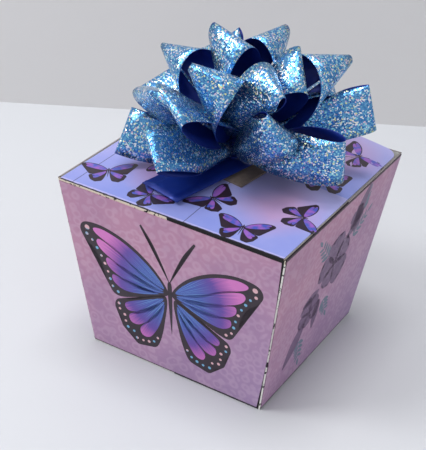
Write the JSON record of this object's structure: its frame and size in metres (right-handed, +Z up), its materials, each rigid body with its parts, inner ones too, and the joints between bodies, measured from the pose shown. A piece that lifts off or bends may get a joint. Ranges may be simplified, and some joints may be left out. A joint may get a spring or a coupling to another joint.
{
  "type": "tapered paper gift box",
  "caption": "Tapered square gift box of folded card faced with printed paper, its hinged lid carrying a star bow of glitter ribbon.",
  "frame": {"origin": "middle of the base, on the surface that the box stands on", "axes": "+Z up; the hinged front edge faces -Y; +X to the right seen from the front"},
  "size_m": [0.0998, 0.0997, 0.1363],
  "materials": {
    "white_card": "matte white folded card",
    "marbled_paper": "satin printed paper, mottled mauve",
    "lid_paper": "satin printed paper, periwinkle and violet",
    "grey_board": "grey board",
    "wire": "galvanised staple wire",
    "ribbon": "blue holographic glitter outside, plain navy inside"
  },
  "bodies": {
    "box": {"box_body": "white_card", "front_panel": "marbled_paper", "right_panel": "marbled_paper", "back_panel": "marbled_paper", "left_panel": "marbled_paper"},
    "lid": {"lid": "white_card", "lid_panel": "lid_paper", "bow_pad": "grey_board", "bow_staple": "wire", "bow_ribbon": "ribbon"}
  },
  "joints": [
    {"name": "lid_hinge", "type": "hinge", "parent": "box", "child": "lid", "pos_m": [0, -0.05, 0.079], "axis": [1, 0, 0], "range_deg": [0, 165]}
  ]
}
